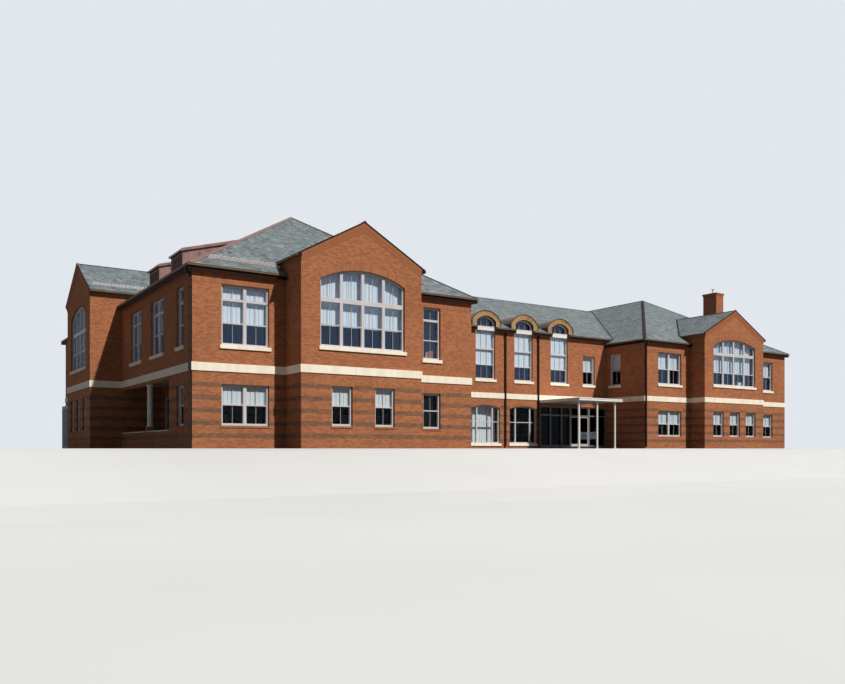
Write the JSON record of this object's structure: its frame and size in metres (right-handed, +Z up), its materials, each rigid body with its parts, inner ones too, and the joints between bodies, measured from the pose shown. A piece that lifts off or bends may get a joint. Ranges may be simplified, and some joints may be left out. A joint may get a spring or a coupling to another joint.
{
  "type": "public library building, scale model at 1:2",
  "caption": "Two-storey brick public library at half size: hipped slate wings with gabled bays and arched windows, a lower link with a glazed entrance, canopy and hinged pair of doors.",
  "frame": {"origin": "underside of the ground slab at the middle of the link, on the ground", "axes": "+X right along the street front, +Y back from the street, +Z up"},
  "size_m": [28.885, 17.605, 7.115],
  "materials": {
    "brick": "matt",
    "cast_stone": "matt",
    "slate": "matt",
    "concrete": "matt",
    "window_frame": "satin",
    "glass": "gloss",
    "copper_sheet": "satin",
    "dormer_sheet": "satin",
    "canopy_white": "satin",
    "gutter_metal": "satin",
    "door_aluminium": "satin",
    "screen_metal": "satin"
  },
  "bodies": {
    "building": {"bay_fronts": "brick", "bay_roof_left_slopes": "slate", "bay_roof_right_slopes": "slate", "bay_side_walls": "brick", "canopy": "canopy_white", "canopy_columns": "canopy_white", "chimney": "brick", "downspouts": "gutter_metal", "gutters": "gutter_metal", "left_east_walls": "brick", "left_front_walls": "brick", "left_ground_floor": "concrete", "left_rear_wall": "brick", "left_roof_east": "slate", "left_roof_ends": "slate", "left_roof_west": "slate", "left_upper_floor": "concrete", "left_window_frames": "window_frame", "link_arch_rings": "copper_sheet", "link_arch_roofs": "copper_sheet", "link_front_lower": "brick", "link_front_upper": "brick", "link_ground_floor": "concrete", "link_rear_wall": "brick", "link_roof_front": "slate", "link_roof_rear": "slate", "link_upper_floor": "concrete", "link_window_frames": "window_frame", "porch_back_wall": "brick", "porch_column": "canopy_white", "porch_low_wall": "brick", "porch_side_walls": "brick", "right_east_wall": "brick", "right_front_walls": "brick", "right_ground_floor": "concrete", "right_rear_wall": "brick", "right_roof_east": "slate", "right_roof_ends": "slate", "right_roof_west": "slate", "right_upper_floor": "concrete", "right_west_walls": "brick", "right_window_frames": "window_frame", "stone_belt": "cast_stone", "storefront_glass": "glass", "storefront_head": "door_aluminium", "storefront_left": "door_aluminium", "storefront_right": "door_aluminium", "west_dormer_roofs": "dormer_sheet", "west_dormers": "dormer_sheet", "west_screen": "screen_metal", "west_wall_lower": "brick", "west_wall_north": "brick", "west_wall_upper": "brick", "window_glass": "glass", "window_sills": "cast_stone"},
    "left_door": {"entrance_door_left": "door_aluminium", "entrance_glass_left": "glass"},
    "right_door": {"entrance_door_right": "door_aluminium", "entrance_glass_right": "glass"}
  },
  "joints": [
    {"name": "left_door_hinge", "type": "hinge", "parent": "building", "child": "left_door", "pos_m": [2.718, -5.13, 0.675], "axis": [0, 0, -1], "range_deg": [0, 90]},
    {"name": "right_door_hinge", "type": "hinge", "parent": "building", "child": "right_door", "pos_m": [3.642, -5.13, 0.675], "axis": [0, 0, 1], "range_deg": [0, 90]}
  ]
}
